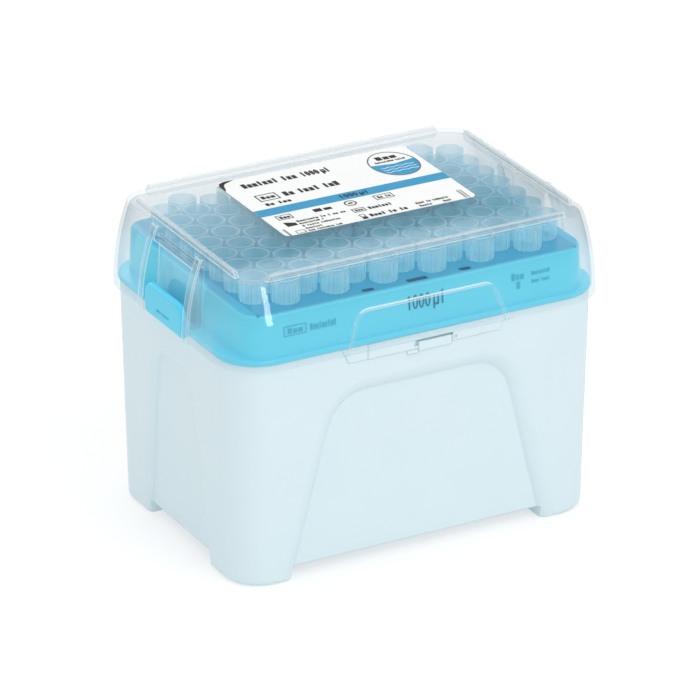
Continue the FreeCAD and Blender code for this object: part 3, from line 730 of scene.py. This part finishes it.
class Stencil:
    """Flat shapes in sheet coordinates: u to the right, v downwards, millimetres.

    The volume mark's own sizes are in figure pitches along it and figure heights up.

    Attributes:
        RING_STEPS: Pieces in a ring or arc.
        WORD_GAP: Gap between two words, as a share of a letter's pitch.
        WORD_SHIFT: How far each word starts further on in the letters' cycle.
        CYCLE: Order in which the letters' blocks follow each other.
        PITCHES: Width of the volume mark.
        STEMS: Its uprights: edge, side on which the stroke lies, foot and head.
        FLAG: Flag of its 1: left end, height there and height at the stem.
        ROUNDS: Its round strokes: middle, half width, half height and end angle.
    """

    RING_STEPS = 40
    WORD_GAP = 0.8
    WORD_SHIFT = 3
    CYCLE = (Letter.CAPITAL, Letter.ROUND, Letter.WIDE, Letter.TALL, Letter.ROUND, Letter.ROUND,
             Letter.TALL, Letter.WIDE)
    PITCHES = 3.62
    STEMS = ((0.4, -1, 0.0, 1.0), (2.62, 1, -0.26, 0.74), (3.18, -1, 0.0, 0.74),
             (3.6, -1, 0.0, 1.02))
    FLAG = (0.12, 0.84, 0.86)
    ROUNDS = ((0.89, 0.5, 0.27, 0.52, 360), (1.49, 0.5, 0.27, 0.52, 360),
              (2.09, 0.5, 0.27, 0.52, 360), (2.9, 0.26, 0.28, 0.28, 180))

    def __init__(self) -> None:
        """Starts with no shapes."""
        self.shapes: list[Outline] = []

    def bar(self, box: Box) -> None:
        """Adds a filled box."""
        left, top, right, bottom = box
        self.shapes.append(((left, top), (left, bottom), (right, bottom), (right, top)))

    def frame(self, box: Box, line: float) -> None:
        """Adds an empty box.

        Args:
            box: The box.
            line: Width of its lines.
        """
        left, top, right, bottom = box
        self.bar((left, top, right, top + line))
        self.bar((left, bottom - line, right, bottom))
        self.bar((left, top + line, left + line, bottom - line))
        self.bar((right - line, top + line, right, bottom - line))

    def ring(self, centre: Point, outer: Point, inner: Point, span: Point = (0, 360)) -> None:
        """Adds a ring or an arc of one.

        Args:
            centre: Middle.
            outer: Outer half width and half height.
            inner: Inner half width and half height, 0 for a filled shape.
            span: Start and end angle in degrees, 0 to the right and 90 down.
        """
        for step in range(self.RING_STEPS):
            corners = []
            for size, turn in ((inner, step), (outer, step), (outer, step + 1), (inner, step + 1)):
                angle = math.radians(span[0] + (span[1] - span[0]) * turn / self.RING_STEPS)
                corner = (centre[0] + size[0] * math.cos(angle),
                          centre[1] + size[1] * math.sin(angle))
                if corner not in corners:
                    corners.append(corner)
            self.shapes.append(tuple(corners[::-1]))

    def words(self, rows: tuple[Row, ...]) -> None:
        """Adds rows of blocks, one block for each letter of a row of words.

        Args:
            rows: The rows.
        """
        for (left, top, right, bottom), lengths in rows:
            step = (right - left) / (sum(lengths) + self.WORD_GAP * (len(lengths) - 1))
            place = left
            for word, count in enumerate(lengths):
                for index in range(count):
                    letter = self.CYCLE[(index + self.WORD_SHIFT * word) % len(self.CYCLE)]
                    tall, wide = letter.value
                    gap = step * (1 - wide) / 2
                    self.bar((place + gap, bottom - (bottom - top) * tall,
                              place + step - gap, bottom))
                    place += step
                place += self.WORD_GAP * step

    def volume(self, box: Box, stroke: float) -> None:
        """Adds the volume mark 1000 µl.

        Args:
            box: Left end, top of the figures, right end and baseline.
            stroke: Width of the strokes as a share of a figure's pitch.
        """
        left, top, right, bottom = box
        wide = (right - left) / self.PITCHES
        high = bottom - top
        flat = stroke * wide / high

        def at(u: float, v: float) -> Point:
            """Place of a point given in figure pitches and heights above the baseline."""
            return left + u * wide, bottom - v * high

        for edge, side, foot, head in self.STEMS:
            near, far = sorted((edge, edge + side * stroke))
            self.bar((*at(near, head), *at(far, foot)))
        tip, low, join = self.FLAG
        root = self.STEMS[0][0] - stroke
        self.shapes.append((at(root, join - flat), at(tip, low - flat), at(tip, low), at(root, 1)))
        for u, v, half_wide, half_high, end in self.ROUNDS:
            self.ring(at(u, v), (half_wide * wide, half_high * high),
                      ((half_wide - stroke) * wide, (half_high - flat) * high), (0, end))

    def print_on(self, name: str, place: Placing, finish: Material, slot: Slot,
                 body: Body) -> None:
        """Makes the shapes as one thin printed piece.

        Args:
            name: Piece name.
            place: Sheet coordinates to a point in the frame.
            finish: Material.
            slot: Material slot that the piece belongs to; not used.
            body: Body that it rides on.
        """
        shape = bmesh.new()
        for points in self.shapes:
            shape.faces.new([shape.verts.new(place(u, v)) for u, v in points])
        bmesh.ops.triangulate(shape, faces=shape.faces[:])
        piece = new_piece(name, shape, finish)
        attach(piece, body.value)
        LOG.info("built %s", name)


# ---- sub-assemblies ----
@dataclass
class CadDress:
    """CAD nodes that show as they are, each in its finish.

    Attributes:
    """

    frame: dict

    def put_on(self, node: str, finish: Material) -> None:
        """Puts a finish on a node.

        Args:
            node: Node name.
            finish: Material.
        """
        shown = self.frame["nodes"][node]
        shown.data.materials.clear()
        shown.data.materials.append(finish)
        LOG.info("dressed %s", node)


@dataclass
class Base:
    """Drafted storage base with its recessed walls and catch.

    Attributes:
        finish: Its plastic.
    """

    # Base finish: painted highlight along its rounded edges.
    finish: MouldedPlastic = field(default_factory=lambda: MouldedPlastic(
        "base_plastic", smoothest=0.38, roughest=0.5, light=linear(221, 239, 245),
        dark=linear(217, 236, 242), painted_edge_tone=linear(232, 245, 249), edge_gain=1.2, edge=0.0006))

    def build(self, cad: CadDress) -> None:
        """Dresses the base."""
        cad.put_on("base", self.finish.make())


@dataclass
class TipTray:
    """Snap-in tray that holds the tips, with the volume mark on its front wall.

    Its print counts v down from the frame's zero, so v is negative on the wall.

    Attributes:
        deck_mm: Height of the deck.
        ledge_mm: Height of the flange's top.
        wall_mm: Distance of the front wall from the middle, at the deck.
        spread_mm: How far the wall draws out down to the flange.
        proud_mm: How far the print stands off the wall.
        mark_mm: Box of the volume mark.
        mark_stroke: Width of its strokes as a share of a figure's pitch.
        faint_frame: Empty box in the faint print and the width of its lines.
        faint_bar: Filled box in it.
        faint_rows: Its rows of small blocks.
        ink_skin: Lowest and highest roughness of its inks.
        finish: Its plastic.
    """

    deck_mm: float = 93.0
    ledge_mm: float = 79.0
    wall_mm: float = 43.5
    spread_mm: float = 1.05
    proud_mm: float = 0.06
    mark_mm: Box = (-5.6, -89.2, 7.8, -84.6)
    mark_stroke: float = 0.17
    faint_frame: tuple[Box, float] = ((-48.8, -88.3, -40.8, -84.9), 0.35)
    faint_bar: Box = (34.1, -86.0, 35.5, -83.6)
    faint_rows: tuple[Row, ...] = (
        ((-47.6, -87.5, -42.0, -85.6), (3,)), ((-39.6, -87.6, -30.4, -85.3), (9,)),
        ((32.2, -89.0, 37.0, -86.6), (3,)), ((39.5, -88.6, 46.3, -87.2), (9,)),
        ((39.5, -85.8, 46.3, -84.6), (4, 4)))
    ink_skin: Point = (0.3, 0.4)
    # Tray finish: painted highlight along its edges, painted shade on the deck, in the cuts and on
    # the thumb tabs, and a faint painted glow.
    finish: MouldedPlastic = field(default_factory=lambda: MouldedPlastic(
        "tray_plastic", smoothest=0.18, roughest=0.28, light=linear(82, 208, 231),
        dark=linear(74, 204, 228), painted_edge_tone=linear(140, 230, 246),
        painted_top_shade=linear(36, 164, 204), painted_top_shade_from=0.0926, painted_cut_shade=linear(24, 124, 172),
        painted_cut_shade_half=(0.057, 0.0424), painted_tab_shade=linear(48, 192, 224), painted_tab_shade_from=0.0664,
        glow=(0.03, 0.09, 0.112)))

    def wall_point(self, u: float, v: float) -> Vector:
        """Point just off the front wall, u along it and v below the frame's zero."""
        fall = (self.deck_mm + v) / (self.deck_mm - self.ledge_mm)
        return Vector((u, -self.wall_mm - self.spread_mm * fall - self.proud_mm, -v)) * MM

    def build(self, cad: CadDress) -> None:
        """Dresses the tray and prints on its front wall.

        Args:
            cad: The nodes to dress.
        """
        cad.put_on("tip_tray", self.finish.make())
        mark, faint = Stencil(), Stencil()
        mark.volume(self.mark_mm, self.mark_stroke)
        faint.frame(*self.faint_frame)
        faint.bar(self.faint_bar)
        faint.words(self.faint_rows)
        for name, stencil, ink, light, dark in (
                ("tray_volume_mark", mark, "tray_mark_ink",
                 linear(26, 136, 164), linear(20, 128, 156)),
                ("tray_faint_marks", faint, "tray_faint_ink",
                 linear(58, 186, 216), linear(52, 180, 211))):
            finish = Ink(ink, *self.ink_skin, light=light, dark=dark)
            stencil.print_on(name, self.wall_point, finish.make(), Slot.TRAY, Body.BASE)


@dataclass
class Tips:
    """Pipette tips, one node for each staggered column.

    Attributes:
        columns: Number of columns.
        finish: Their plastic.
    """

    columns: int = 13
    # Tips finish: painted highlight along the rims; the milky haze is the tips' own, and its blue
    # tint is painted light of the blue tray.
    finish: MilkyPlastic = field(default_factory=lambda: MilkyPlastic(
        "tip_plastic", smoothest=0.1, roughest=0.16, edge=0.0002, haze=linear(168, 216, 232),
        painted_edge_tone=linear(240, 252, 255), edge_gain=7.0, through=(0.89, 0.962, 0.98),
        haze_facing=0.4, haze_edge_on=0.88, lamp_through=(0.87, 0.92, 0.935)))

    def build(self, cad: CadDress) -> None:
        """Dresses every column.

        Args:
            cad: The nodes to dress.
        """
        plastic = self.finish.make()
        for column in range(1, self.columns + 1):
            cad.put_on(f"tips_column_{column:02d}", plastic)


@dataclass
class Lid:
    """Clear lift-off cover.

    Attributes:
        finish: Its plastic.
    """

    # Lid finish: painted highlight and glow along its edges and rib crests, and painted light in
    # its lower band and latch frames.
    finish: ClearPlastic = field(default_factory=lambda: ClearPlastic(
        "lid_plastic", smoothest=0.03, roughest=0.06, edge=0.0007, haze=linear(110, 138, 150),
        painted_low_haze=linear(165, 216, 232), painted_edge_tone=linear(232, 242, 246),
        through=(0.935, 0.95, 0.955), haze_facing=0.03, haze_edge_on=0.72, haze_bend=1.7,
        edge_gain=12.0, bump=0.1))

    def build(self, cad: CadDress) -> None:
        """Dresses the lid."""
        cad.put_on("lid", self.finish.make())


@dataclass
class Label:
    """Paper label with its printed stripe, boxes and rows of print.

    Attributes:
        left_mm: Left edge in the frame.
        back_mm: Back edge in the frame.
        top_mm: Height of the paper's face.
        step_mm: Height between one layer of ink and the next.
        stripe_mm: Box of the stripe across it.
        oval_mm: Middle of the oval.
        oval_half_mm: Its half width and half height.
        oval_span: Start and end angle of its filled lower field, degrees.
        rim_mm: Width of its rim.
        oval_rows: Rows of words in its white field.
        wave_from_mm: Where the first wave in its lower field starts.
        wave_mm: Length, gap to the next wave, thickness and height of a wave.
        wave_turn: Turn of a wave along its length, radians a millimetre.
        wave_pieces: Straight pieces in a wave.
        waves: Number of waves.
        rows: Rows of black words.
        frames: Empty boxes and the widths of their lines.
        fills: Outlines of the filled marks.
        bars: Filled boxes.
        marks: Boxes of the volume marks and the widths of their strokes.
        ring_mm: Middle, outer and inner half sizes of the ring.
        ladders: Columns of short lines: count, left, right and upper edge.
        rung_mm: Their spacing and thickness.
        ink_skin: Lowest and highest roughness of its inks.
        paper: Its paper.
    """

    left_mm: float = -31.45
    back_mm: float = 35.25
    top_mm: float = 103.55
    step_mm: float = 0.02
    stripe_mm: Box = (0.0, 26.2, 68.7, 31.6)
    oval_mm: Point = (58.5, 12.6)
    oval_half_mm: Point = (7.8, 9.8)
    oval_span: Point = (-8, 188)
    rim_mm: float = 0.5
    oval_rows: tuple[Row, ...] = (((54.6, 5.4, 62.2, 8.3), (3,)),
                                  ((53.0, 9.2, 64.0, 10.5), (11, 6)))
    wave_from_mm: Point = (52.6, 14.6)
    wave_mm: tuple[float, float, float, float] = (12.0, 1.9, 0.3, 0.25)
    wave_turn: float = 1.9
    wave_pieces: int = 24
    waves: int = 3
    rows: tuple[Row, ...] = (
        ((6.2, 4.7, 25.9, 8.3), (7, 3)), ((7.2, 16.6, 12.2, 18.9), (3,)),
        ((15.1, 16.2, 35.25, 19.7), (2, 4, 3)), ((6.0, 22.2, 15.25, 24.3), (2, 3)),
        ((4.9, 33.8, 8.6, 35.7), (3,)), ((16.8, 33.5, 23.8, 35.9), (2,)),
        ((40.1, 33.9, 44.8, 35.6), (2, 2)), ((8.4, 38.9, 25.9, 40.3), (8, 2, 1, 2, 2)),
        ((8.4, 41.0, 17.1, 42.2), (9, 1)), ((8.4, 43.1, 21.8, 44.3), (1, 5, 8)),
        ((8.4, 45.25, 14.3, 46.4), (7,)), ((8.4, 47.2, 20.4, 48.3), (3, 8, 3)),
        ((28.7, 40.1, 31.6, 41.5), (3,)), ((33.4, 39.9, 41.8, 41.9), (7,)),
        ((31.0, 45.3, 44.5, 47.5), (4, 2, 2)), ((48.4, 44.1, 60.1, 45.6), (4, 2, 7)),
        ((48.5, 46.6, 53.0, 47.9), (5,)), ((57.1, 46.6, 60.1, 47.9), (4,)))
    frames: tuple[tuple[Box, float], ...] = (
        ((6.0, 15.1, 13.25, 20.4), 0.45), ((4.0, 32.9, 9.4, 36.5), 0.35),
        ((39.1, 32.9, 45.75, 36.5), 0.35), ((4.3, 46.2, 7.6, 48.4), 0.25),
        ((27.9, 39.3, 32.4, 42.3), 0.35), ((28.0, 44.3, 29.9, 46.4), 0.3))
    fills: tuple[Outline, ...] = (
        ((0.0, 3.0), (0.9, 0.9), (3.0, 0.0), (6.5, 0.0), (4.6, 0.9), (2.6, 1.7), (1.5, 3.4),
         (0.8, 6.0), (0.0, 7.5)), ((4.1, 38.4), (4.1, 42.2), (7.75, 42.2), (7.75, 40.2)))
    bars: tuple[Box, ...] = ((29.6, 34.2, 31.2, 35.2), (28.0, 46.6, 29.9, 48.2))
    marks: tuple[tuple[Box, float], ...] = (((27.6, 4.7, 37.4, 8.4), 0.25),
                                            ((29.5, 27.5, 39.6, 30.0), 0.2))
    ring_mm: tuple[Point, Point, Point] = ((30.4, 34.7), (2.1, 2.1), (1.6, 1.6))
    ladders: tuple[tuple[int, float, float, float], ...] = (
        (7, 64.8, 65.5, 41.9), (7, 66.0, 66.5, 41.9), (6, 1.3, 2.1, 43.4))
    rung_mm: Point = (0.95, 0.6)
    ink_skin: Point = (0.45, 0.55)
    # Paper finish: a faint painted shade along its edges.
    paper: MouldedPlastic = field(default_factory=lambda: MouldedPlastic(
        "label_paper", smoothest=0.5, roughest=0.6, light=linear(243, 244, 243),
        dark=linear(239, 241, 240), painted_edge_tone=linear(240, 240, 240), edge_gain=0.3,
        edge=0.0002, shine=0.1))

    def layer(self, number: int) -> Placing:
        """Placing rule of one layer of ink, 1 for the lowest."""
        height = self.top_mm + self.step_mm * number
        return lambda u, v: Vector((self.left_mm + u, self.back_mm - v, height)) * MM

    def black_print(self) -> Stencil:
        """Rows of print, boxes and marks in black.

        Returns:
            Their shapes.
        """
        ink = Stencil()
        ink.words(self.rows)
        ink.shapes.extend(self.fills)
        ink.ring(*self.ring_mm)
        for box, line in self.frames:
            ink.frame(box, line)
        for box, stroke in self.marks:
            ink.volume(box, stroke)
        for box in self.bars:
            ink.bar(box)
        pitch, thick = self.rung_mm
        for count, left, right, top in self.ladders:
            for upper in (top + pitch * row for row in range(count)):
                ink.bar((left, upper, right, upper + thick))
        return ink

    def wave_print(self) -> Stencil:
        """Waves in the oval's lower field.

        Returns:
            Their shapes.
        """
        ink = Stencil()
        length, gap, thick, high = self.wave_mm
        step = length / self.wave_pieces
        for row in range(self.waves):
            v = self.wave_from_mm[1] + gap * row
            for index in range(self.wave_pieces):
                u = self.wave_from_mm[0] + step * index
                low, end = (v + high * math.sin((u + shift) * self.wave_turn)
                            for shift in (0.0, step))
                ink.shapes.append(((u, low), (u, low + thick), (u + step, end + thick),
                                   (u + step, end)))
        return ink

    def build(self, cad: CadDress) -> None:
        """Dresses the paper and prints each colour.

        Args:
            cad: The nodes to dress.
        """
        cad.put_on("label", self.paper.make())
        inks = {}
        for name, light, dark in (
                ("black", linear(16, 17, 20), linear(8, 9, 12)),
                ("blue", linear(50, 152, 196), linear(42, 146, 190)),
                ("grey", linear(104, 112, 120), linear(96, 104, 112)),
                ("white", linear(240, 248, 252), linear(236, 245, 250))):
            inks[name] = Ink(f"label_ink_{name}", *self.ink_skin, light=light, dark=dark).make()
        stripe, rim, lines = Stencil(), Stencil(), Stencil()
        stripe.bar(self.stripe_mm)
        stripe.ring(self.oval_mm, self.oval_half_mm, (0.0, 0.0), self.oval_span)
        wide, high = self.oval_half_mm
        rim.ring(self.oval_mm, (wide + self.rim_mm, high + self.rim_mm), self.oval_half_mm)
        lines.words(self.oval_rows)
        for name, stencil, layer, ink in (
                ("label_blue_print", stripe, 1, "blue"), ("label_oval_rim", rim, 2, "grey"),
                ("label_oval_waves", self.wave_print(), 2, "white"),
                ("label_oval_words", lines, 2, "black"),
                ("label_black_print", self.black_print(), 2, "black")):
            stencil.print_on(name, self.layer(layer), inks[ink], Slot.LABEL, Body.LID)


# ---- studio ----
@dataclass(frozen=True)
class Lamp:
    """Large soft rectangular lamp that looks at the object.

    Attributes:
        name: Its name.
        place: Where it hangs.
        sides: Its width and height, metres.
        power: Its power, watts.
        lights: Whether it lights matt surfaces, not only mirrors in glossy ones.
    """

    name: str
    place: tuple[float, float, float]
    sides: tuple[float, float]
    power: float
    lights: bool = True

    def hang(self, aim: Vector) -> None:
        """Hangs the lamp.

        Args:
            aim: Point that it looks at.
        """
        data = bpy.data.lights.new(self.name, "AREA")
        data.shape = "RECTANGLE"
        data.size, data.size_y = self.sides
        data.energy = self.power
        lamp = bpy.data.objects.new(self.name, data)
        lamp.location = self.place
        lamp.rotation_euler = (aim - Vector(self.place)).to_track_quat("-Z", "Y").to_euler()
        lamp.visible_camera = False
        lamp.visible_diffuse = self.lights
        bpy.context.scene.collection.objects.link(lamp)


@dataclass(frozen=True)
class Studio:
    """Pale floor, soft lamps, white surroundings and the camera.

    Attributes:
        eye: Camera place.
        aim: Point in the middle of the view.
        lens: Focal length, millimetres.
        sensor: Width of the sensor, millimetres.
        clip: Nearest and furthest distance that the camera sees.
        floor_half: Half the floor's side.
        surround: Light level of the white surroundings.
        floor_tone: The floor's own colour.
        floor_lift: What the floor adds to its own light in the view.
        floor_return: What it adds to the light that it throws back.
        sheen_level: Brightness of the card behind the lid.
        sheen_x: Ends of that card.
        sheen_y: How far back it stands.
        sheen_z: Heights between which it fades out.
        matt: Roughness of the floor and the card.
        lamp_aim: Point that the lamps look at.
        lamps: The lamps.
    """

    eye: Vector = field(default_factory=lambda: Vector((-0.7463, -1.3641, 0.7608)))
    aim: Vector = field(default_factory=lambda: Vector((-0.00993, -0.01549, 0.06073)))
    lens: float = 273.58
    sensor: float = 36.0
    clip: tuple[float, float] = (0.1, 20.0)
    floor_half: float = 4.0
    surround: float = 0.72
    floor_tone: Colour = (0.55, 0.553, 0.556)
    floor_lift: float = 0.49
    floor_return: float = 0.3
    sheen_level: float = 4.5
    sheen_x: tuple[float, float] = (-0.3, 0.6)
    sheen_y: float = 0.25
    sheen_z: tuple[float, float] = (0.17, 0.24)
    matt: float = 0.9
    lamp_aim: Vector = field(default_factory=lambda: Vector((0, 0, 0.05)))
    lamps: tuple[Lamp, ...] = (
        Lamp("key", (0.5, -1.3, 1.5), (1.1, 1.1), 8.0),
        Lamp("top", (0.0, 0.3, 1.8), (1.4, 1.4), 6.0),
        Lamp("fill", (-1.6, -0.4, 0.9), (1.0, 1.0), 1.75),
        Lamp("front", (-0.5, -1.5, 0.45), (1.0, 0.6), 1.9),
        Lamp("back", (0.4, 1.6, 0.6), (1.0, 0.8), 1.6),
        Lamp("card", (0.15, -1.5, 0.26), (0.42, 0.5), 7.0, lights=False))

    def build(self) -> None:
        """Makes the whole studio."""
        self.make_camera()
        self.make_world()
        self.make_floor()
        for lamp in self.lamps:
            lamp.hang(self.lamp_aim)
        self.make_sheen()

    def make_camera(self) -> None:
        """Sets the camera at the viewing angle."""
        lens = bpy.data.cameras.new("camera")
        lens.lens = self.lens
        lens.sensor_width = self.sensor
        lens.clip_start, lens.clip_end = self.clip
        camera = bpy.data.objects.new("camera", lens)
        camera.location = self.eye
        camera.rotation_euler = (self.aim - self.eye).to_track_quat("-Z", "Y").to_euler()
        bpy.context.scene.collection.objects.link(camera)
        bpy.context.scene.camera = camera

    @staticmethod
    def seen(graph: Graph) -> Socket:
        """Value that is 1 for rays of the view, of reflections and through clear parts.

        Args:
            graph: Graph to add the nodes to.

        Returns:
            The value's socket.
        """
        ray = graph.add("ShaderNodeLightPath").outputs
        plain = graph.math("MAXIMUM", ray["Is Camera Ray"], ray["Is Glossy Ray"])
        return graph.math("MAXIMUM", plain, ray["Is Transmission Ray"])

    def make_world(self) -> None:
        """White surroundings: full white to the eye, softer as light."""
        world = bpy.data.worlds.new("studio_white")
        bpy.context.scene.world = world
        world.use_nodes = True
        graph = Graph(world.node_tree)
        light = world.node_tree.nodes["Background"]
        graph.feed(light.inputs["Color"], WHITE)
        graph.feed(light.inputs["Strength"], graph.ranged(self.seen(graph), self.surround, 1.0))

    def make_floor(self) -> None:
        """Pale floor that reads white and keeps the shadow."""
        side = self.floor_half
        _, graph, glow = self.sheet("floor", self.floor_tone, (
            (-side, -side, 0.0), (side, -side, 0.0), (side, side, 0.0), (-side, side, 0.0)))
        graph.feed(glow, graph.ranged(self.seen(graph), self.floor_return, self.floor_lift))

    def make_sheen(self) -> None:
        """Card behind the lid that shows only mirrored in glossy skins, fading upwards."""
        (left, right), (low, high) = self.sheen_x, self.sheen_z
        card, graph, glow = self.sheet("sheen_card", BLACK, (
            (left, self.sheen_y, low), (right, self.sheen_y, low),
            (right, self.sheen_y, high), (left, self.sheen_y, high)))
        graph.feed(glow, graph.ranged(graph.above(low, high), self.sheen_level, 0.0))
        for unseen in ("camera", "diffuse", "transmission", "shadow", "volume_scatter"):
            setattr(card, f"visible_{unseen}", False)

    def sheet(self, name: str, tone: Colour, corners: tuple[tuple[float, float, float], ...]
              ) -> tuple[bpy.types.Object, Graph, Socket]:
        """Makes one flat stage piece with a matt white-glowing material.

        Args:
            name: Its name.
            tone: Its own colour.
            corners: Its corners in order.

        Returns:
            The piece, its material's graph and the input for the strength of its glow.
        """
        shape = bmesh.new()
        shape.faces.new([shape.verts.new(corner) for corner in corners])
        material = bpy.data.materials.new(f"{name}_white")
        material.use_nodes = True
        graph = Graph(material.node_tree)
        sockets = material.node_tree.nodes["Principled BSDF"].inputs
        for label, value in (("Base Color", tone), ("Roughness", self.matt),
                             ("Specular IOR Level", 0.0), ("Emission Color", WHITE)):
            graph.feed(sockets[label], value)
        piece = new_piece(name, shape, material)
        piece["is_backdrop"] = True
        return piece, graph, sockets["Emission Strength"]


def write_size(stage: str, sizes: dict[str, list[list[float]]]) -> None:
    """Notes the bounds of what shows.

    Args:
        stage: Name of the moment, such as loaded.
        sizes: Notes so far, added to.
    """
    low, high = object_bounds()
    sizes[stage] = [[float(value) for value in low], [float(value) for value in high]]


def main() -> None:
    """Builds and dresses everything, in order."""
    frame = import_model()
    sizes: dict[str, list[list[float]]] = {}
    write_size("loaded", sizes)
    bpy.context.scene.view_settings.view_transform = "Standard"
    Studio().build()
    cad = CadDress(frame)
    for part in (Base(), TipTray(), Tips(), Lid(), Label()):
        part.build(cad)
    write_size("finished", sizes)


if __name__ == "__main__":
    logging.basicConfig(level=logging.INFO, format="%(name)s %(message)s")
    main()
